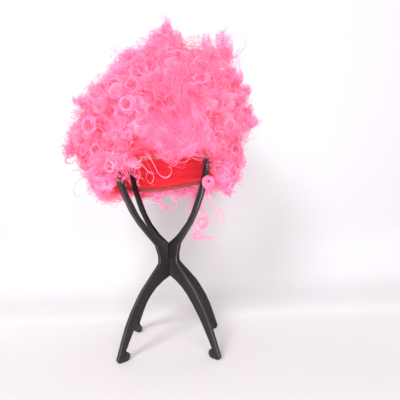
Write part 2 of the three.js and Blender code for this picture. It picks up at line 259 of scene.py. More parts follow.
def gather(parts):
    """Several sets of strands as one."""
    points, quads, tones = zip(*parts)
    starts = np.cumsum([0] + [len(p) for p in points])
    quads = [q + start for q, start in zip(quads, starts)]
    return np.concatenate(points), np.concatenate(quads), np.concatenate(tones)


# Strands of hair. A fibre begins and ends at its own share of a lock, has its own loops, place,
# waves, width and facing, and is painted darker towards the root: painted shade, deep in the hair.

FIBRE = Values(
    begin=(0, 0.1), end=(0.86, 1), loops=0.55, slide=0.8, waves=(1.3, 2.9, 5.3), wave_fall=0.6,
    widths=(0.7, 1.25), thinning=(0.6, 5), facing=0.55, tip_tone=0.06, root_tone=-0.26,
)
STREAK = 0.05
TONE_JITTER = 0.08
STEEP = Values(line=0.8, way=0.9)
SCATTER_JITTER = 0.28
GOLDEN_TURN = np.pi * (3 - math.sqrt(5))


def helper_axis(way, steep):
    """An axis well off each way: upright, or across where the way is steep itself."""
    return np.where(np.abs(way[:, 2:]) < steep, [[0.0, 0.0, 1.0]], [[1.0, 0.0, 0.0]])


def frames_along(axis):
    """Two directions square to an axis line, at each of its points."""
    along = unit(np.gradient(axis, axis=1))
    first = unit(np.cross(along, helper_axis(unit(along.mean(1)), STEEP.line)[:, None, :]))
    return first, np.cross(along, first)


def tangents(out):
    first = unit(np.cross(helper_axis(out, STEEP.way), out))
    return first, np.cross(out, first)


def sampled(values, s):
    """Rows of values, read at places from 0 to 1 along each row."""
    last = values.shape[1] - 1
    whole = np.clip(np.floor(s * last).astype(int), 0, last - 1)[..., None]
    part = (s * last)[..., None] - whole
    before, after = (np.take_along_axis(values, place, 1) for place in (whole, whole + 1))
    return before * (1 - part) + after * part


def waved(points, s, waves):
    """Strands with waves of their own: each wave's number along a strand, and its size."""
    n = len(points)
    for number, size in waves:
        amount = np.reshape(size, (-1, 1, 1)) * rng.normal(0, 1, (n, 1, 3))
        points = points + amount * np.sin(TURN * (number * s + rng.uniform(0, 1, (n, 1))))[..., None]
    return points


def thinned(s, by, power):
    """The share of a strand's width along it: whole in the middle, less at both ends."""
    return 1 - by * np.abs(2 * s - 1) ** power


def curls(axis, radius, turns, fibres, spread, wobble, width, tone, out, clear=True, streak=STREAK):
    """Curled locks, each a bundle of fibres wound round its own axis line.

    axis is (locks, steps, 3), radius (locks, steps), out (locks, 3), the others one value for each
    lock or for all. Clear locks keep off the cap. streak is how much the tone differs from fibre to
    fibre.
    """
    locks, steps = axis.shape[:2]
    n = locks * fibres

    def each(values):
        return np.repeat(np.broadcast_to(values, locks), fibres)[:, None]

    begin = rng.uniform(*FIBRE.begin, (n, 1))
    end = rng.uniform(*FIBRE.end, (n, 1))
    s = begin + (end - begin) * np.linspace(0, 1, steps)[None]
    hand = each(rng.choice([-1.0, 1.0], locks))
    phase = each(rng.uniform(0, TURN, locks)) + rng.normal(0, 1, (n, 1)) * each(spread)
    angle = (hand * TURN * each(turns) * s + phase)[..., None]
    size = np.repeat(radius, fibres, 0) * (1 + rng.normal(0, FIBRE.loops, (n, 1)) * each(spread))
    lines = (axis, *frames_along(axis))
    line, first, second = (sampled(np.repeat(values, fibres, 0), s) for values in lines)
    points = line + size[..., None] * (np.cos(angle) * first + np.sin(angle) * second)
    points = points + rng.normal(0, 1, (n, 1, 3)) * (each(wobble) * FIBRE.slide)[..., None]
    points = waved(points, s, [(wave, each(wobble) / wave**FIBRE.wave_fall) for wave in FIBRE.waves])
    if clear:
        points = outside_cap(points)
    widths = each(width) * rng.uniform(*FIBRE.widths, (n, 1)) * thinned(s, *FIBRE.thinning)
    facing = unit(np.repeat(out, fibres, 0)[:, None, :] + rng.normal(0, FIBRE.facing, (n, 1, 3)))
    tones = each(tone) + rng.normal(0, 1, (n, 1)) * each(streak)
    # Painted shade: darker towards the root, deep in the hair
    tones = tones + FIBRE.tip_tone + FIBRE.root_tone * (1 - s)
    return ribbons(points, widths, facing, tones)


def scattered_directions(count):
    """Evenly scattered directions all round."""
    i = np.arange(count) + 0.5
    lift = 1 - 2 * i / count
    even = at_reach(np.sqrt(1 - lift * lift), i * GOLDEN_TURN, lift)
    return unit(even + rng.normal(0, SCATTER_JITTER * math.sqrt(4 * np.pi / count), even.shape))


def on_hair(point):
    """Above the hem, by more at the sides and back, where the locks hang further below it."""
    azimuth = azimuth_of(point)
    further = smoothstep(off_front(azimuth), *HEM_CLEARANCE.between)
    return point[:, 2] > hem_height(azimuth) + HEM_CLEARANCE.rise * further


def row_of(point):
    """Which of the four rows of hair a point belongs to, from the crown down."""
    away = point - HAIR_CENTRE
    lift = np.degrees(np.arctan2(away[:, 2], reach_of(away)))
    return sum((lift < seam).astype(int) for seam in ROW_SEAMS)


def straight(root, tip, along):
    """Axis lines from roots to tips."""
    return root[:, None] + (tip - root)[:, None] * along[None, :, None]


def smooth_line(points, steps):
    """A rounded line through a few points, evenly spaced in parameter."""
    points = np.asarray(points, float)
    padded = np.vstack([2 * points[0] - points[1], points, 2 * points[-1] - points[-2]])
    t = np.linspace(0, len(points) - 1 - 1e-6, steps)
    k = np.floor(t).astype(int)
    u = (t - k)[:, None]
    a, b, c, d = padded[k], padded[k + 1], padded[k + 2], padded[k + 3]
    square, cube = 2 * a - 5 * b + 4 * c - d, 3 * b - a - 3 * c + d
    return 0.5 * (2 * b + (c - a) * u + square * u**2 + cube * u**3)


# Materials


class Look:
    """A material in the making, with its shader and the nodes that recur."""

    def __init__(self, name):
        self.material = bpy.data.materials.new(name)
        self.material.use_nodes = True
        self.nodes = self.material.node_tree.nodes
        self.shader = self.nodes["Principled BSDF"]
        self.place = self.node("TexCoord").outputs["Object"]

    def feed(self, node, inputs):
        """Set each input to a value, or link it to an output."""
        for key, value in inputs.items():
            if isinstance(value, bpy.types.NodeSocket):
                self.material.node_tree.links.new(value, node.inputs[key])
            else:
                node.inputs[key].default_value = value

    def node(self, kind, inputs=None, **settings):
        node = self.nodes.new("ShaderNode" + kind)
        for key, value in settings.items():
            setattr(node, key, value)
        self.feed(node, inputs or {})
        return node

    def math(self, operation, *values):
        return self.node("Math", dict(enumerate(values)), operation=operation).outputs[0]

    def noise(self, scale, detail, distortion=0.0):
        inputs = {"Vector": self.place, "Scale": scale, "Detail": detail, "Distortion": distortion}
        return self.node("TexNoise", inputs).outputs["Fac"]

    def ramp(self, value, stops, interpolation="EASE"):
        node = self.node("ValToRGB", {0: value})
        node.color_ramp.interpolation = interpolation
        elements = node.color_ramp.elements
        while len(elements) < len(stops):
            elements.new(0.5)
        for element, (place, colour) in zip(elements, stops):
            element.position = place
            element.color = (*colour, 1)
        return node.outputs[0]

    def mottled_tone(self, noise, amount, stops):
        """Colours by the tone at each point, the strands' own tone with painted light and shade in it,
        shifted up and down by a noise.
        """
        tone = self.node("Attribute", attribute_name="tone").outputs["Fac"]
        shift = self.math("MULTIPLY_ADD", noise, amount, -amount / 2)
        return self.ramp(self.math("ADD", tone, shift), stops, "LINEAR")

    def bump(self, height, strength, distance):
        inputs = {"Height": height, "Strength": strength, "Distance": distance}
        self.feed(self.shader, {"Normal": self.node("Bump", inputs).outputs[0]})

    def mixed(self, share, first, second):
        return self.node("MixShader", {0: share, 1: first, 2: second}).outputs[0]

    def lit_through(self, colour, share):
        """The shader, with a share of it lit from behind."""
        through = self.node("BsdfTranslucent", {"Color": colour}).outputs[0]
        return self.mixed(share, self.shader.outputs[0], through)

    def see_through(self, share, surface):
        return self.mixed(share, surface, self.node("BsdfTransparent").outputs[0])

    def surfaced(self, surface):
        self.feed(self.nodes["Material Output"], {"Surface": surface})
        return self.material


def hair_material(name, stops, glow, thin):
    """Crimped fibre: glow is the share lit from behind, thin the share that is see-through."""
    look = Look(name)
    colour = look.mottled_tone(look.noise(scale=55, detail=3), 1.3, stops)
    look.feed(look.shader, {
        "Base Color": colour, "Roughness": 0.42, "Specular IOR Level": 0.35,
        "Sheen Weight": 0.25, "Sheen Tint": (1, 0.75, 0.85, 1),
    })
    return look.surfaced(look.see_through(thin, look.lit_through(colour, glow)))


PINKS = [
    (0.0, (0.97, 0.09, 0.23)),
    (0.4, (0.98, 0.20, 0.37)),
    (0.7, (0.99, 0.30, 0.52)),
    (1.0, (0.98, 0.40, 0.63)),
]
# Painted shade: stray fibres at the outline are toned darker, as strands seen against the light
SHADED_STRAY_PINKS = [(0.0, (0.66, 0.10, 0.22)), (0.5, (0.78, 0.20, 0.36)), (1.0, (0.84, 0.30, 0.48))]
# Painted shade: the hair underneath takes deeper reds than the fibres, as the shade deep in the hair
SHADED_HOLLOW_PINKS = [
    (0.0, (0.94, 0.04, 0.09)),
    (0.3, (0.97, 0.14, 0.28)),
    (0.6, (0.98, 0.22, 0.38)),
    (1.0, (0.99, 0.31, 0.47)),
]
REDS = [(0.0, (0.75, 0.004, 0.020)), (0.5, (0.77, 0.006, 0.024)), (1.0, (0.79, 0.009, 0.029))]
BROWNS = [(0.3, (0.17, 0.020, 0.020)), (0.6, (0.32, 0.044, 0.042)), (0.8, (0.44, 0.075, 0.070))]
BLACKS = [(0.35, (0.004, 0.003, 0.0035)), (0.65, (0.007, 0.005, 0.006))]
WORN_AND_HIGHLIT_BLACK = (0.05, 0.044, 0.047, 1)
EDGES = [(0.50, (0.0, 0.0, 0.0)), (0.58, (1.0, 1.0, 1.0))]
# Painted light and shade on the paper: lighter on the floor under the wig, darker on the curve of the
# sweep
PAPER_WITH_PAINTED_LIGHT = [
    (0.01, (0.524, 0.518, 0.530)),
    (0.11, (0.610, 0.603, 0.616)),
    (0.16, (0.490, 0.483, 0.496)),
    (0.22, (0.448, 0.440, 0.454)),
    (0.38, (0.480, 0.471, 0.486)),
    (0.60, (0.482, 0.473, 0.488)),
    (0.95, (0.468, 0.458, 0.474)),
]

hair_look = hair_material("pink_curled_fibre", PINKS, glow=0.5, thin=0.42)
lock_look = hair_material("pink_lock_fibre", PINKS, glow=0.4, thin=0.25)
shaded_stray_look = hair_material("shaded_stray_fibre", SHADED_STRAY_PINKS, glow=0.25, thin=0.1)


def under_material():
    look = Look("pink_hair_underneath")
    noise = look.noise(scale=75, detail=5, distortion=1.5)
    # Painted shade: deeper reds than the fibres
    colour = look.mottled_tone(noise, 1.2, SHADED_HOLLOW_PINKS)
    look.feed(look.shader, {"Base Color": colour, "Roughness": 0.7})
    look.bump(noise, strength=0.5, distance=0.003)
    return look.surfaced(look.lit_through(colour, 0.5))


def net_material():
    look = Look("red_cap_net")
    inputs = {"Vector": look.place, "Scale": 620, "Randomness": 0.35}
    weave = look.node("TexVoronoi", inputs, feature="DISTANCE_TO_EDGE").outputs["Distance"]
    inputs = {"Vector": look.place, "Scale": 26, "Distortion": 1.4, "Detail": 3}
    rows = look.node("TexWave", inputs, bands_direction="Z").outputs["Fac"]
    colour = look.ramp(rows, REDS)
    look.feed(look.shader, {"Base Color": colour, "Roughness": 0.75, "Sheen Weight": 0.3})
    look.bump(look.math("MULTIPLY_ADD", weave, 2.0, rows), strength=0.4, distance=0.0006)
    return look.surfaced(look.lit_through(colour, 0.35))


def elastic_material():
    look = Look("brown_elastic_braid")
    braid = look.noise(scale=700, detail=3)
    look.feed(look.shader, {"Base Color": look.ramp(braid, BROWNS), "Roughness": 0.8})
    look.bump(braid, strength=0.4, distance=0.0005)
    return look.material


def plastic_material():
    """Satin plastic with a fine grain and cloudy gloss. Its edges are toned lighter, partly as wear and
    partly as a painted highlight.
    """
    look = Look("black_satin_plastic")
    clouds = look.noise(scale=22, detail=5)
    # Painted highlight and wear: the sharp edges are mixed towards a lighter black
    edges = look.ramp(look.node("NewGeometry").outputs["Pointiness"], EDGES)
    share = look.math("MULTIPLY", edges, 0.5)
    inputs = {"Factor": share, "A": look.ramp(clouds, BLACKS), "B": WORN_AND_HIGHLIT_BLACK}
    colour = look.node("Mix", inputs, data_type="RGBA").outputs["Result"]
    gloss = look.node("MapRange", {"Value": clouds, "To Min": 0.28, "To Max": 0.44}).outputs[0]
    look.feed(look.shader, {"Base Color": colour, "Roughness": gloss, "Specular IOR Level": 0.2})
    look.bump(look.noise(scale=900, detail=2), strength=0.12, distance=0.0004)
    return look.material


def paper_material():
    """Pale paper with painted light and shade along its depth and height: lighter on the floor under the
    wig, darker on the curve of the sweep. It is seen from its front only, so that views from behind look
    through it."""
    look = Look("white_paper")
    split = look.node("SeparateXYZ", {0: look.place}).outputs
    inputs = {"Value": split["Y"], "From Min": -0.12, "From Max": 0.08, "To Max": 0.1}
    away = look.node("MapRange", inputs).outputs[0]
    rise = look.node("MapRange", {"Value": split["Z"], "From Max": 0.16, "To Max": 0.85}).outputs[0]
    along = look.math("ADD", away, rise)
    mottled = look.math("MULTIPLY_ADD", look.noise(scale=3, detail=2), 0.02, along)
    look.feed(look.shader, {"Base Color": look.ramp(mottled, PAPER_WITH_PAINTED_LIGHT, "LINEAR"), "Roughness": 0.9})
    behind = look.node("NewGeometry").outputs["Backfacing"]
    return look.surfaced(look.see_through(behind, look.shader.outputs[0]))


def placed(piece, material, slot, *nodes):
    piece.data.materials.append(material)
    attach(piece, "root")
    if nodes:
        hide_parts(*nodes)


# Stand

plastic = plastic_material()
for name in PLATES:
    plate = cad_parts[name]
    plate.data.materials.clear()
    plate.data.materials.append(plastic)

# Cap: a stretched net with shallow puckers between the arms, a little inside the faces of its solid

CAP_COLUMNS = 144
CAP_ROWS = 40
CAP_POLE = 0.02
NET_INSET = Values(outside=0.1, inside=0.15)
PUCKERS = Values(around=22, twist=6, depth=0.0042, begin=0.55)


def cap_skin(offset):
    """Rings of the cap from its pole to its rim."""
    azimuth = around(CAP_COLUMNS)
    crown = DOME_RISE + CAP_CLEARANCE + offset
    drop = np.arccos((rim_height(azimuth) - DOME_HEIGHT) / crown)
    share = np.linspace(CAP_POLE, 1, CAP_ROWS)[:, None]
    height = DOME_HEIGHT + crown * np.cos(drop[None] * share)
    points = cap_point(np.broadcast_to(azimuth, height.shape), height, offset)
    pucker = np.sin(azimuth * PUCKERS.around + PUCKERS.twist * share)
    pucker = pucker * PUCKERS.depth * smoothstep(share, PUCKERS.begin, 1)
    points[..., :2] *= (1 - pucker)[..., None]
    return points


outer, inner = cap_skin(CAP_WALL - NET_INSET.outside), cap_skin(NET_INSET.inside)
cap = ring_mesh("cap_net", np.concatenate([outer, inner[::-1]]))
placed(cap, net_material(), "cap_net", "wig_cap")

# Elastic band: a flat braid with ribs. Its profile gives shares of the height and half thicknesses.

BAND_COLUMNS = 240
BAND_PROFILE = [(0.0, 1), (0.12, 1.35), (0.3, 1.1), (0.5, 1.4), (0.7, 1.1), (0.88, 1.35), (1.0, 1)]
BAND = Values(half=0.6, back=0.3, inset=0.2)
RIB = Values(depth=0.12, columns=4)


def band_ring(share, side):
    azimuth = around(BAND_COLUMNS)
    rib = RIB.depth * np.sin(np.arange(BAND_COLUMNS) * TURN / RIB.columns)
    offset = CAP_WALL - BAND_WALL / 2 + side * BAND.half + np.sign(side) * rib
    drop = GAP + BAND.inset + (BAND_HEIGHT - 2 * BAND.inset) * share
    return cap_point(azimuth, rim_height(azimuth) - drop, offset)


sides = BAND_PROFILE + [(share, BAND.back - side) for share, side in BAND_PROFILE[::-1]]
band = ring_mesh("rim_elastic_braid", np.array([band_ring(share, side) for share, side in sides]))
placed(band, elastic_material(), "rim_elastic", "rim_band")

# Bunches and gaps of the hair

LOBE = Values(count=14, pace=(0.08, 0.24), start=(0, 6.28), limits=(-1.4, 1.1))
LOBES = [
    (rng.normal(0, 1, 3), rng.uniform(*LOBE.pace), rng.uniform(*LOBE.start)) for _ in range(LOBE.count)
]
PARTING = Values(across=-18, height=256, half_width=25, half_height=15)
# Span over which the right side of the hair is toned lighter: painted light
RIGHT_PAINTED_LIGHT_SPAN = (30, 90)
CURL_HOLLOW = 8


def lobe(point):
    """How far the hair bunches out, about -1 to 1, in tufts a few centimetres across."""
    waves = sum(np.sin((point @ unit(way)) * pace + start) for way, pace, start in LOBES)
    return np.clip(waves / math.sqrt(LOBE.count / 2), *LOBE.limits)


def parting_share(point):
    """1 in the middle of the gap where the hair parts above the left of the face."""
    across = (point[..., 0] - PARTING.across) / PARTING.half_width
    up = (point[..., 2] - PARTING.height) / PARTING.half_height
    return np.where(point[..., 1] < 0, np.exp(-((across**2 + up**2) ** 2)), 0)


def right_painted_light(point):
    """0 to 1 towards the right side, where painted light makes the hair lighter."""
    return smoothstep(point[..., 0], *RIGHT_PAINTED_LIGHT_SPAN)


# Rolled curls and springs seen singly: middle, the way each faces, size of its loops, turns, fibres,
# how much the loops widen, length, how far the fibres part, and tone

CURL_FIELDS = "at faces size turns fibres taper length spread tone"
Curl = namedtuple("Curl", CURL_FIELDS, defaults=(-0.4, 4, 0.26, 0.6))
ROLLED_CURLS = [
    # Beside the front right arm
    Curl((56, -70, 215), (0.05, -1, 0), 7, 2.6, 30, taper=-0.65, length=3, spread=0.18),
    # Springs, two in the upper right tuft and one at the front; the two in the tuft are toned lighter as
    # a painted highlight
    Curl((77, -42, 392), (0.1, 0, 1), 4.6, 4.6, 14, taper=0, length=18, spread=0.06, tone=1.15),
    Curl((60, -42, 392), (0.2, 0, 1), 3.6, 4, 12, taper=0, length=14, spread=0.06, tone=1.15),
    Curl((37, -112, 297), (1, 0, 0.1), 3.6, 3.5, 5, taper=0, length=12, spread=0.1),
    # Rolled curls that the front view shows
    Curl((-29, -113, 300), (-0.2, -1, 0.1), 9.5, 1.7, 14),
    Curl((-13, -117, 293), (0.1, -1, 0.25), 8.5, 1.3, 8),
    Curl((-62, -99, 303), (-0.5, -1, 0), 9.5, 1.7, 14),
    Curl((19, -116, 302), (0.1, -1, 0.5), 10, 1.2, 8),
    Curl((-24, -109, 322), (-0.1, -1, 0.3), 9, 1.4, 9),
    Curl((-42, -105, 317), (-0.3, -1, 0.2), 9, 1.6, 10),
    Curl((-41, -111, 280), (-0.2, -1, 0), 8, 1.5, 9),
    Curl((-76, -94, 283), (-0.6, -1, 0), 10.5, 1.8, 12),
    Curl((-4, -117, 292), (0.2, -1, -0.2), 7.5, 1.2, 6),
    Curl((-69, -94, 255), (-0.5, -1, 0.1), 8.5, 1.5, 10),
    Curl((-55, -92, 236), (-0.4, -1, -0.1), 8.5, 1.5, 10),
    Curl((-86, -82, 257), (-0.7, -1, 0.1), 9, 1.5, 10),
    Curl((-73, -68, 218), (-0.5, -1, -0.2), 9, 1.5, 10),
    Curl((-37, -68, 369), (-0.3, -0.7, 0.7), 9, 1.6, 10),
    Curl((83, -78, 279), (0.6, -1, 0), 9, 1.4, 8),
    Curl((91, -54, 253), (0.8, -1, 0), 9, 1.4, 8),
    Curl((-25, -88, 237), (-0.1, -1, -0.1), 5, 1.4, 10),
    Curl((86, -52, 226), (0.8, -1, -0.1), 9, 1.4, 8),
]
CURL_CENTRES = np.array([curl.at for curl in ROLLED_CURLS], float)


def curl_share(point):
    """1 at the middle of a curl seen singly, where the hair behind it lies deeper and is painted darker,
    a painted shade.
    """
    away = np.linalg.norm(point[..., None, :] - CURL_CENTRES, axis=-1)
    return np.exp(-((away / CURL_HOLLOW) ** 2)).max(-1)


# Hair underneath: the dense mass that the curls stand on. Its depth under the outer form grows by
# the last number of a row between two places along an axis. It ends above the hem, turns in there
# and lines the cap.

UNDER = Values(
    columns=288, rows=96, pole=0.03, fall=1.15, above_hem=11, depth=11, curl_depth=4, bunch=5,
    deeper=[("z", 205, 265, 2), ("z", 330, 375, 5), ("x", 60, 95, 4)],
)
# Tone of the underneath: painted shade makes it darker behind curls seen singly and in the parting,
# painted light makes it lighter where it bunches out and on the right side
UNDER_TONE_AND_SHADE = Values(middle=0.5, bunched=0.22, parting=-0.6, right=0.15, curl=-0.4)
FINE_LOBES = Values(size=0.45, pace=2.7)
# The lining's low tone is painted shade inside the hair, against the cap
LINING = Values(rows=22, below_top=3, below_edge=1.5, clearance=0.3, tone=0.1)


def under_rings():
    """Rings down the outside and back up along the cap, and the tone of each point."""
    azimuth = around(UNDER.columns)
    fall = 1 - np.cos(np.linspace(UNDER.pole, 1, UNDER.rows) * np.pi / 2 * UNDER.fall)
    bottom = hem_height(azimuth)[None] + UNDER.above_hem
    height = HAIR_TOP + (bottom - HAIR_TOP) * (fall / fall[-1])[:, None]
    columns = np.broadcast_to(azimuth, height.shape)
    form = at_reach(hair_reach(height, columns), columns, height)
    bunched = lobe(form) + FINE_LOBES.size * lobe(form * FINE_LOBES.pace)
    hollow = curl_share(form)
    depth = UNDER.depth + UNDER.curl_depth * hollow - UNDER.bunch * bunched
    for axis, low, high, deeper in UNDER.deeper:
        depth = depth + deeper * smoothstep(form[..., "xyz".index(axis)], low, high)
    # Painted shade and light: darker in hollows, the parting and behind single curls, lighter where
    # bunched out and on the right
    tone = UNDER_TONE_AND_SHADE.middle + UNDER_TONE_AND_SHADE.bunched * bunched + UNDER_TONE_AND_SHADE.curl * hollow
    tone = tone + UNDER_TONE_AND_SHADE.parting * parting_share(form) + UNDER_TONE_AND_SHADE.right * right_painted_light(form)
    skin = form - outward(form) * depth[..., None]
    edge = skin[-1, :, 2][None]
    top = DOME_HEIGHT + DOME_RISE + CAP_CLEARANCE + CAP_WALL + GAP - LINING.below_top
    rise = np.cos(np.linspace(1, 0, LINING.rows) * np.pi / 2)[:, None]
    height = edge - LINING.below_edge + (top - edge) * rise
    columns = np.broadcast_to(azimuth, height.shape)
    lining = cap_point(columns, height, CAP_WALL + GAP + LINING.clearance)
    tones = np.concatenate([tone, np.full(height.shape, LINING.tone)])
    return np.concatenate([skin, lining]), tones


placed(ring_mesh("hair_underneath", *under_rings()), under_material(), "hair")

# Hair over the whole head. Each set of locks is scattered over the outer form, and a lock winds
# round its own axis: size is the radius of its loops, taper how much they widen towards the tip,
# length how far the axis runs, lean its angle off the outward way in degrees, and sink how far
# inside the outer form it ends. A pair of numbers is a range.

FUZZ = dict(
    count=1700, fibres=10, steps=18, size=(5, 11), taper=(-0.4, 0.3), turns=(0.7, 1.5),
    length=(10, 24), lean=(0, 75), sink=(-2, 8), spread=(0.4, 0.9), wobble=(1.2, 2.4),
    width=0.5, tone=(0.44, 0.62),
)
FLOW = dict(
    fibres=10, steps=18, size=(8, 15), taper=(-0.3, 0.3), turns=(0.3, 0.8),
    length=(16, 32), lean=(15, 80), sink=(-2, 8), spread=(0.3, 0.8), wobble=(0.5, 1.3),
    width=0.5, tone=(0.44, 0.66),
)
RINGS = dict(
    count=430, fibres=10, steps=24, size=(6, 9), taper=(-0.7, -0.1), turns=(0.9, 1.6),
    length=(3, 8), lean=(0, 55), sink=(0, 6), spread=(0.1, 0.3), wobble=(0.3, 0.8),
    width=0.36, tone=(0.52, 0.74), streak=0.13,
)
STRAYS = dict(
    count=600, fibres=2, steps=18, size=(4, 10), taper=(-0.4, 0.4), turns=(0.7, 1.7),
    length=(8, 24), lean=(0, 80), sink=(-8, 1), spread=(0.05, 0.1), wobble=(0.3, 0.9),
    width=0.55, tone=(0.42, 0.66),
)
LOCK_SINK = Values(least=4, leaning=0.8, bunched=-7)
# Painted light and shade on the locks: lighter where the hair bunches out and on the right, darker in its
# hollows
LOCK_PAINTED_LIGHT = Values(bunched=0.2, right=0.1)
FUZZ_BEHIND_CURLS = 0.25


def drawn(span, count):
    return rng.uniform(*span, count) if isinstance(span, tuple) else np.full(count, float(span))


def drawn_settings(recipe, count):
    """What a recipe says of the locks' winding and fibres, drawn for each lock."""
    return {key: drawn(recipe[key], count) for key in ("turns", "spread", "wobble", "width", "tone")}


def locks(place, recipe):
    """The strands of one lock at each place."""
    count = len(place)
    out = outward(place)
    side, over = tangents(out)
    turned = rng.uniform(0, TURN, count)[:, None]
    lean = np.radians(drawn(recipe["lean"], count))[:, None]
    way = unit(out * np.cos(lean) + np.sin(lean) * (np.cos(turned) * side + np.sin(turned) * over))
    size, length = drawn(recipe["size"], count), drawn(recipe["length"], count)
    sink = drawn(recipe["sink"], count) + LOCK_SINK.leaning * size * np.sin(lean[:, 0])
    sink = sink + LOCK_SINK.least + LOCK_SINK.bunched * lobe(place)
    along = np.linspace(0, 1, recipe["steps"])
    tip = place - out * sink[:, None]
    axis = straight(tip - way * length[:, None], tip, along)
    radius = size[:, None] * (1 + drawn(recipe["taper"], count)[:, None] * (along - 0.5)[None])
    settings = drawn_settings(recipe, count)
    # Painted light and shade: lighter where bunched out and on the right
    settings["tone"] += LOCK_PAINTED_LIGHT.bunched * lobe(place) + LOCK_PAINTED_LIGHT.right * right_painted_light(place)
    streak = recipe.get("streak", STREAK)
    return curls(axis, radius, fibres=recipe["fibres"], out=out, streak=streak, **settings)


def whole_head(recipe, chance):
    """Places over the haired part of the head, each kept by its chance."""
    place = form_point(scattered_directions(recipe["count"]))
    place = place[on_hair(place)]
    return place[rng.uniform(0, 1, len(place)) < chance(place)]


def hair_piece(name, parts, *nodes, look=hair_look):
    placed(mesh_of(name, *gather(parts)), look, "hair", *nodes)


def fuzz_chance(point):
    return (1 - parting_share(point)) * (1 - (1 - FUZZ_BEHIND_CURLS) * curl_share(point))


place = whole_head(FUZZ, fuzz_chance)
rows = row_of(place)
recipes = (FLOW, FUZZ, FUZZ, FUZZ)
fuzz = [[locks(place[rows == number], recipe)] for number, recipe in enumerate(recipes)]

# Locks that hang from the lower edge, as one more row under the rim: start is how far above the
# hem their roots are, and out how far they stand off as they fall

HANGING = dict(
    count=150, fibres=9, steps=18, size=(5, 8.5), taper=(-0.5, 0.1), turns=(0.9, 1.8),
    length=(6, 13), spread=(0.2, 0.7), wobble=(0.6, 1.6), width=0.36, tone=(0.6, 0.85),
    stagger=(-0.4, 0.4), start=(7, 16), out=0.3, sway=0.25, off_cap=5, under_form=9, parting=0.5,
)


def hanging_locks():
    count = HANGING["count"]
    azimuth = (np.arange(count) + drawn(HANGING["stagger"], count)) / count * TURN
    start = hem_height(azimuth) + drawn(HANGING["start"], count)
    at_cap = cap_point(azimuth, np.maximum(start, rim_height(azimuth)), CAP_WALL)
    near = reach_of(at_cap) + HANGING["off_cap"]
    far = np.maximum(hair_reach(start, azimuth) - HANGING["under_form"], near + 1)
    root = at_reach(near + (far - near) * rng.uniform(0, 1, count), azimuth, start)
    root = root[parting_share(root) < HANGING["parting"]]
    count = len(root)
    out = outward(root)
    down = unit([[0, 0, -1.0]] + HANGING["out"] * out + rng.normal(0, HANGING["sway"], root.shape))
    along = np.linspace(0, 1, HANGING["steps"])
    axis = straight(root, root + down * drawn(HANGING["length"], count)[:, None], along)
    size, taper = drawn(HANGING["size"], count), drawn(HANGING["taper"], count)
    radius = size[:, None] * (1 + taper[:, None] * along[None])
    return curls(axis, radius, fibres=HANGING["fibres"], out=out, **drawn_settings(HANGING, count))


fuzz[3].append(hanging_locks())

hair_piece("crown_hair", fuzz[0], "hair_crown")
hair_piece("upper_hair", fuzz[1], "hair_upper_weft")
hair_piece("middle_hair", fuzz[2], "hair_middle_weft")
hair_piece("rim_hair", fuzz[3], "hair_rim_weft")

# Ring curls are thickest on the left and sparse where the hair is brushed out at the front right.
# None are scattered over the front, where curls are placed singly.

RING_CHANCE = Values(least=0.3, left=0.7, brushed=-0.3)
LEFT_SIDE = (-40, 60)
BRUSHED_OUT = Values(front=(40, 90), right=(-10, 30))
SINGLY = Values(front=-66, left=-96, right=46, top=345)


def ring_chance(point):
    x, y, z = point.T
    left = smoothstep(-x, *LEFT_SIDE)
    brushed = smoothstep(-y, *BRUSHED_OUT.front) * smoothstep(x, *BRUSHED_OUT.right)
    chance = RING_CHANCE.least + RING_CHANCE.left * left + RING_CHANCE.brushed * brushed
    singly = (y < SINGLY.front) & (x > SINGLY.left) & (x < SINGLY.right) & (z < SINGLY.top)
    return np.where(singly, 0.0, np.clip(chance, 0, 1))


reseed("ring_curls")
hair_piece("ring_curls", [locks(whole_head(RINGS, ring_chance), RINGS)], look=lock_look)
reseed("stray_fibres")
hair_piece("stray_fibres", [locks(whole_head(STRAYS, fuzz_chance), STRAYS)], look=shaded_stray_look)

# Tufts that stand out of the outline: root, tip, locks in the tuft, its width at the root, how much
# lighter painted light makes it, the width of its fibres, and how blunt: at 1 it stays as wide down to
# its tips

Tuft = namedtuple("Tuft", "root tip locks wide paler width blunt", defaults=(0, 0.6, 0))
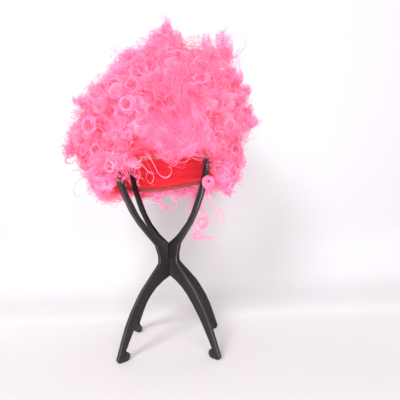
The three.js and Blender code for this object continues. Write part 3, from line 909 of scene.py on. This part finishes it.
# Painted light: tufts at the top and the right are toned lighter where the light falls on the outline
TOP = dict(paler=0.15, width=0.45)
RIGHT = dict(paler=0.05, width=0.5, blunt=0.6)
TUFTS = {
    "top": Tuft((10, -4, 397), (9, -4, 439), 34, 15, **TOP),
    "top_left": Tuft((0, -8, 396), (-7, -8, 422), 14, 12, **TOP),
    "top_right": Tuft((24, -8, 393), (22, -8, 424), 14, 12, **TOP),
    "brow_left": Tuft((-34, -20, 375), (-42, -20, 394), 10, 12),
    "right_inner": Tuft((63, -14, 379), (63, -14, 409), 9, 13, **RIGHT),
    "right": Tuft((76, -14, 376), (87, -14, 417), 13, 14, **RIGHT),
    "right_outer": Tuft((86, -14, 367), (97, -14, 398), 9, 13, **RIGHT),
    "flank_a": Tuft((90, -12, 341), (108, -12, 359), 12, 12),
    "flank_b": Tuft((96, -32, 320), (115, -32, 332), 12, 12),
    "flank_c": Tuft((102, -8, 304), (120, -8, 310), 12, 12),
    "flank_d": Tuft((104, -36, 289), (122, -36, 288), 12, 11),
    "side_a": Tuft((89, -12, 258), (104, -12, 259), 12, 11),
    "side_b": Tuft((88, -34, 243), (107, -34, 238), 12, 11),
    "side_c": Tuft((82, -10, 228), (100, -10, 214), 12, 12),
    "side_d": Tuft((74, -30, 220), (85, -30, 193), 14, 12),
    "left_a": Tuft((-97, -24, 323), (-115, -24, 331), 6, 9),
    "left_b": Tuft((-108, -12, 279), (-126, -12, 285), 8, 12),
    "left_c": Tuft((-109, -34, 264), (-128, -34, 265), 8, 12),
    "temple_right_a": Tuft((76, -54, 248), (74, -58, 206), 14, 12),
    "temple_right_b": Tuft((82, -44, 240), (80, -48, 200), 14, 12),
    "temple_left_a": Tuft((-75, -56, 236), (-73, -58, 210), 14, 12),
    "temple_left_b": Tuft((-62, -64, 233), (-61, -64, 210), 6, 6),
    "temple_left_c": Tuft((-86, -46, 232), (-82, -50, 207), 14, 12),
    "brow_right": Tuft((42, -93, 265), (41, -92, 250), 9, 9, blunt=1),
    "inner_left": Tuft((-72, 32, 206), (-62, 26, 222), 7, 9),
    "inner_back": Tuft((-34, 77, 206), (-28, 71, 218), 6, 10),
}
# Along the nape they hang almost straight down: across, depth, heights of root and tip, and locks
NAPE = [
    (-60, 70, 214, 200, 8), (-47, 75, 215, 201, 8), (-33, 78, 215, 199, 9), (-19, 80, 214, 201, 9),
    (-5, 80, 214, 202, 9), (9, 80, 215, 200, 9), (23, 79, 216, 198, 10), (36, 78, 217, 194, 12),
    (48, 76, 218, 192, 12), (58, 70, 219, 198, 9),
]
# Painted light: the nape tufts are toned much lighter to lift them out of the shade they hang in
for number, (x, y, high, low, count) in enumerate(NAPE):
    TUFTS[f"nape_{number}"] = Tuft((x, y, high), (x + 1, y, low), count, 10, paler=0.4, blunt=1)
TUFTS["flank_e"] = Tuft((84, -18, 352), (100, -18, 365), 14, 13)
TUFT = Values(
    locks=dict(turns=(1.2, 2.4), spread=(0.3, 0.9), wobble=(0.5, 1.4), tone=(0.55, 0.85)),
    steps=20, fibres=9, size=(4, 7.5), taper=-0.5, reach=(0.5, 1.0), reach_power=0.7, roots=0.45,
    tips=2.5, facing=[0.0, -1.0, 0.4], facing_jitter=0.3,
)


def tuft_strands(tuft):
    count = tuft.locks
    begin, end = np.array(tuft.root, float), np.array(tuft.tip, float)
    root = begin + rng.normal(0, TUFT.roots, (count, 3)) * tuft.wide
    share = rng.uniform(*TUFT.reach, (count, 1)) ** TUFT.reach_power
    tip = begin + (end - begin) * share + rng.normal(0, TUFT.tips, (count, 3))
    tip = tip + (root - begin) * tuft.blunt
    along = np.linspace(0, 1, TUFT.steps)
    radius = rng.uniform(*TUFT.size, count)[:, None] * (1 + TUFT.taper * along[None])
    out = unit(TUFT.facing + rng.normal(0, TUFT.facing_jitter, root.shape))
    settings = drawn_settings({**TUFT.locks, "width": tuft.width}, count)
    settings["tone"] += tuft.paler
    return curls(straight(root, tip, along), radius, fibres=TUFT.fibres, out=out, clear=False, **settings)


reseed("tufts")
hair_piece("tufts", [tuft_strands(tuft) for tuft in TUFTS.values()], look=lock_look)

# Single loops and loose locks: fibres, how far they part, their tone and the line that they follow

Lock = namedtuple("Lock", "fibres apart tone line")
LOOSE_LOCKS = {
    "loop_at_the_face": Lock(3, 0.3, 0.62, [
        (-30, -84, 262), (-20, -82, 254), (-11, -80, 246), (-5, -80, 235), (-1, -80, 226),
        (6, -80, 221), (12, -80, 224), (14, -80, 231), (10, -80, 234)]),
    "small_loop_at_the_face": Lock(3, 0.3, 0.62, [
        (-18, -82, 250), (-14, -80, 238), (-9, -78, 228), (-8, -78, 220), (-12, -78, 215),
        (-16, -78, 220), (-15, -78, 227), (-12, -78, 229), (-8, -79, 226)]),
    "strand_at_the_face": Lock(3, 0.5, 0.62, [
        (-34, -86, 254), (-27, -83, 243), (-21, -80, 237), (-13, -80, 228), (-7, -79, 226)]),
    "hanging_loop": Lock(7, 0.8, 0.6, [
        (52, 71, 214), (54, 73, 202), (57, 74, 191), (62, 74, 184), (66, 74, 176), (71, 74, 164),
        (76, 74, 156), (80, 74, 162), (79, 74, 171), (73, 74, 177), (66, 74, 178)]),
    "hanging_tangle": Lock(18, 2.0, 0.6, [
        (48, 71, 214), (48, 73, 203), (47, 74, 190), (46, 74, 180), (52, 74, 170), (56, 74, 158),
        (48, 74, 150), (40, 74, 157), (45, 74, 165), (51, 74, 161), (48, 74, 151),
        (40, 74, 142), (32, 74, 136), (38, 74, 131), (46, 74, 137)]),
    "hanging_tail": Lock(14, 2.4, 0.6, [
        (40, 71, 214), (41, 73, 200), (40, 74, 184), (38, 75, 170), (34, 75, 159), (38, 75, 146),
        (35, 75, 137), (42, 75, 134), (53, 75, 135), (67, 75, 128)]),
    "nape_wisp": Lock(16, 2.4, 0.6, [
        (-24, 71, 212), (-19, 72, 200), (-14, 72, 190), (-9, 72, 183), (-5, 72, 178)]),
    "nape_strand": Lock(3, 0.4, 0.62, [
        (-56, 66, 206), (-50, 70, 194), (-41, 72, 188), (-30, 72, 188), (-22, 72, 192), (-18, 71, 204)]),
    "left_wisp": Lock(4, 0.5, 0.7, [
        (-88, -24, 226), (-102, -20, 228), (-114, -20, 223), (-119, -20, 213), (-116, -20, 204),
        (-110, -20, 204)]),
    # Pale haze below the nape: loose strands that also stand in for the pink light the hair throws on the
    # wall below
    "nape_haze_left": Lock(10, 4.0, 0.85, [
        (-2, 74, 208), (4, 74, 197), (9, 74, 188), (7, 74, 179)]),
    "nape_haze_right": Lock(14, 5.0, 0.85, [
        (24, 74, 207), (28, 75, 194), (32, 75, 182), (29, 75, 170)]),
    "tuft_wisp": Lock(4, 1.4, 0.7, [
        (86, -20, 392), (96, -20, 405), (107, -20, 404), (112, -20, 394), (108, -20, 383),
        (99, -20, 378)]),
    "tuft_strand": Lock(7, 0.7, 0.4, [
        (74, -44, 362), (84, -42, 366), (93, -40, 369), (103, -38, 374)]),
}
LOOSE = Values(
    steps_a_point=8, waves=(2.3, 4.1), wave_size=0.55, width=0.36, thinning=(0.6, 6),
    facing=[0.0, -1.0, 0.2], facing_jitter=0.4,
)
LOOSE_PULSE = Values(size=0.6, pace=7, start=(0, 6))


def loose_lock(lock):
    fibres, steps = lock.fibres, LOOSE.steps_a_point * len(lock.line)
    s = np.linspace(0, 1, steps)[None]
    apart = rng.normal(0, lock.apart, (fibres, 1, 3))
    pulse = np.sin(LOOSE_PULSE.pace * s + rng.uniform(*LOOSE_PULSE.start, (fibres, 1)))
    apart = apart * (1 + LOOSE_PULSE.size * pulse)[..., None]
    waves = [(number, LOOSE.wave_size * lock.apart) for number in LOOSE.waves]
    points = waved(smooth_line(lock.line, steps)[None] + apart, s, waves)
    facing = unit(LOOSE.facing + rng.normal(0, LOOSE.facing_jitter, (fibres, 1, 3)))
    tone = lock.tone + rng.normal(0, TONE_JITTER, (fibres, 1))
    return ribbons(points, LOOSE.width * thinned(s, *LOOSE.thinning), facing, tone)


# Thin curls that hang over the opening and the tops of the arms: the span across, the number of
# curls, the height of their roots and how far they fall

Veil = namedtuple("Veil", "span count top fall")
VEILS = {
    "left_of_the_face": Veil((-54, -8), 10, 252, (6, 22)),
    "middle_of_the_face": Veil((-8, 40), 4, 252, (4, 10)),
    "right_of_the_face": Veil((46, 66), 12, 260, (6, 24)),
    "over_the_left_arm": Veil((-60, -44), 6, 243, (6, 22)),
    "over_the_rear_left_arm": Veil((-44, -26), 8, 248, (10, 34)),
}
VEIL = Values(
    locks=dict(turns=(0.7, 1.5), spread=(0.1, 0.5), wobble=(0.4, 1.2), width=0.32, tone=(0.35, 0.6)),
    steps=20, fibres=4, size=(2, 6), taper=-0.3, reach=104.0, depth=(2, 14),
)
VEIL_TOP = Values(range=(-3, 5), slope=0.1)
VEIL_DRIFT = Values(across=(4, 7), inwards=(0, 8))


def veil_strands(veil):
    count = veil.count
    across = rng.uniform(*veil.span, count)
    deep = -np.sqrt(VEIL.reach**2 - across**2) + rng.uniform(*VEIL.depth, count)
    top = veil.top + rng.uniform(*VEIL_TOP.range, count) + VEIL_TOP.slope * across
    root = np.stack([across, deep, top], -1)
    aside = rng.normal(*VEIL_DRIFT.across, count)
    inwards = rng.uniform(*VEIL_DRIFT.inwards, count)
    tip = root + np.stack([aside, inwards, -rng.uniform(*veil.fall, count)], -1)
    along = np.linspace(0, 1, VEIL.steps)
    radius = rng.uniform(*VEIL.size, count)[:, None] * (1 + VEIL.taper * along[None])
    out = np.broadcast_to([0.0, -1.0, 0.0], root.shape)
    settings = drawn_settings(VEIL.locks, count)
    return curls(straight(root, tip, along), radius, fibres=VEIL.fibres, out=out, **settings)


reseed("loose_locks")
loose = [loose_lock(lock) for lock in LOOSE_LOCKS.values()]
loose += [veil_strands(veil) for veil in VEILS.values()]
hair_piece("loose_locks", loose, look=lock_look)

# Rolled curls

CURL_STEPS = Values(a_turn=14, more=4)
CURL = Values(wobble=0.5, width=0.36, streak=0.12)


def rolled_curl(curl):
    along = np.linspace(0, 1, int(CURL_STEPS.a_turn * curl.turns) + CURL_STEPS.more)
    way = unit(np.array([curl.faces], float))
    half = way * curl.length / 2
    axis = straight(curl.at - half, curl.at + half, along)
    radius = curl.size * (1 + curl.taper * along)[None]
    return curls(
        axis, radius, turns=curl.turns, fibres=curl.fibres, spread=curl.spread, wobble=CURL.wobble,
        width=CURL.width, tone=curl.tone, out=way, clear=False, streak=CURL.streak,
    )


reseed("rolled_curls")
hair_piece("rolled_curls", [rolled_curl(curl) for curl in ROLLED_CURLS], look=lock_look)

# Brushed-out locks at the front, broad soft bundles that sweep down and turn in: fibres, how wide and
# deep they spread, the line that they follow and their tone

Brushed = namedtuple("Brushed", "fibres wide deep line tone", defaults=(0.48,))
BRUSHED_LOCKS = {
    "sweep": Brushed(420, 10, 3.0, [
        (26, -111, 312), (33, -113, 297), (38, -112, 280), (38, -109, 266), (32, -109, 257),
        (22, -109, 253)]),
    "over_the_face": Brushed(380, 8, 3.0, [
        (-8, -116, 290), (6, -118, 276), (20, -116, 265), (31, -111, 258), (30, -109, 251),
        (22, -108, 247)]),
    "parting": Brushed(180, 12, 2.5, [
        (10, -90, 352), (16, -103, 336), (20, -110, 318), (20, -116, 300)], tone=0.42),
}
BRUSHED = Values(
    steps=16, line_steps=60, begin=(0, 0.6), length=(0.25, 0.4), drift=0.5, rounding=-0.1,
    waves=[(0.8, 2.2), (1.7, 1.0), (3.1, 0.4)], width=0.5, thinning=(0.7, 4), facing_jitter=0.35,
    narrowest=0.4, swell_begin=0.1,
)


def brushed_lock(lock):
    fibres = lock.fibres
    line = smooth_line(lock.line, BRUSHED.line_steps)
    s = np.linspace(0, 1, BRUSHED.steps)[None]
    begin = rng.uniform(*BRUSHED.begin, (fibres, 1))
    along = begin + rng.uniform(*BRUSHED.length, (fibres, 1)) * s
    place = np.round(along * (BRUSHED.line_steps - 1)).astype(int)
    line, out = line[place], outward(line)[place]
    side = unit(np.cross(np.gradient(line, axis=1) + 1e-6, out))
    swell = np.clip(along * (1 - BRUSHED.swell_begin) + BRUSHED.swell_begin, 0, 1)
    swell = BRUSHED.narrowest + (1 - BRUSHED.narrowest) * np.sin(np.pi * swell)
    aside = rng.normal(0, 1, (fibres, 1)) + rng.normal(0, BRUSHED.drift, (fibres, 1)) * s
    aside = (aside * swell)[..., None]
    lifted = rng.normal(0, 1, (fibres, 1, 1)) * lock.deep + BRUSHED.rounding * lock.wide * aside**2
    points = waved(line + side * aside * lock.wide + out * lifted, s, BRUSHED.waves)
    facing = unit(out + rng.normal(0, BRUSHED.facing_jitter, (fibres, 1, 3)))
    tone = lock.tone + rng.normal(0, TONE_JITTER, (fibres, 1))
    return ribbons(points, BRUSHED.width * thinned(s, *BRUSHED.thinning), facing, tone)


reseed("brushed_locks")
hair_piece("brushed_locks", [brushed_lock(lock) for lock in BRUSHED_LOCKS.values()])

# Stage, in metres: a pale floor that sweeps up behind, and soft light

FLOOR_HALF = 3.0
SWEEP_START = 0.09
SWEEP_RADIUS = 0.13
SWEEP_ANGLES = np.linspace(0.1, math.pi / 2, 16)
WALL = Values(depth=0.22, low=1.0, top=2.4)
SWEEP = [(-FLOOR_HALF, 0.0), (-1.0, 0.0), (0.0, 0.0), (SWEEP_START, 0.0)]
SWEEP += [
    (SWEEP_START + SWEEP_RADIUS * math.sin(angle), SWEEP_RADIUS - SWEEP_RADIUS * math.cos(angle))
    for angle in SWEEP_ANGLES
]
SWEEP += [(WALL.depth, WALL.low), (WALL.depth, WALL.top)]
floor_mesh = bpy.data.meshes.new("studio_floor")
floor_points = [(x, y, z) for y, z in SWEEP for x in (-FLOOR_HALF, FLOOR_HALF)]
floor_faces = [(2 * i, 2 * i + 1, 2 * i + 3, 2 * i + 2) for i in range(len(SWEEP) - 1)]
floor_mesh.from_pydata(floor_points, [], floor_faces)
for polygon in floor_mesh.polygons:
    polygon.use_smooth = True
floor = bpy.data.objects.new("studio_floor", floor_mesh)
bpy.context.scene.collection.objects.link(floor)
floor_mesh.materials.append(paper_material())


def softbox(name, place, target, size, power, spread=180):
    light = bpy.data.lights.new(name, "AREA")
    light.shape = "DISK"
    light.size = size
    light.energy = power
    light.spread = math.radians(spread)
    lamp = bpy.data.objects.new(name, light)
    lamp.location = place
    lamp.rotation_mode = "QUATERNION"
    lamp.rotation_quaternion = (Vector(target) - Vector(place)).to_track_quat("-Z", "Y")
    bpy.context.scene.collection.objects.link(lamp)


softbox("left", (-0.42, -1.08, 1.0), (0, 0, 0.25), size=0.5, power=17.8)
softbox("right", (0.363, -1.296, 0.65), (0, 0, 0.25), size=0.5, power=9.5)
softbox("low", (-0.05, -1.40, 0.20), (0, 0, 0.22), size=0.7, power=12.9)
softbox("reflector", (0.03, -0.30, 0.02), (0, 0.08, 0.21), size=0.16, power=0.36, spread=60)

world = bpy.data.worlds.new("studio")
bpy.context.scene.world = world
world.use_nodes = True
world.node_tree.nodes["Background"].inputs["Color"].default_value = (1.0, 0.985, 1.0, 1)
world.node_tree.nodes["Background"].inputs["Strength"].default_value = 0.86

bpy.context.scene.view_settings.view_transform = "Standard"

# Camera: millimetres from the stand's axis and degrees
CAMERA = Values(distance=552.56, rise=0.581, turn=0.186, roll=-2.254, lens=36.84, sensor=36)
CAMERA_TARGET = Values(across=44.9, height=193.0)
rise, turn, roll = map(math.radians, (CAMERA.rise, CAMERA.turn, CAMERA.roll))
back = Vector((math.sin(turn) * math.cos(rise), -math.cos(turn) * math.cos(rise), math.sin(rise)))
right = Vector((math.cos(turn), math.sin(turn), 0))
up = back.cross(right)
target = right * CAMERA_TARGET.across + Vector((0, 0, CAMERA_TARGET.height))
eye = target + back * CAMERA.distance
level = math.cos(roll) * right + math.sin(roll) * up
upright = math.cos(roll) * up - math.sin(roll) * right
camera_data = bpy.data.cameras.new("camera")
camera_data.lens = CAMERA.lens
camera_data.sensor_width = CAMERA.sensor
camera = bpy.data.objects.new("camera", camera_data)
facing = Matrix((level, upright, back)).transposed().to_4x4()
camera.matrix_world = Matrix.Translation(eye * MM + Vector(AXIS)) @ facing
bpy.context.scene.collection.objects.link(camera)
bpy.context.scene.camera = camera
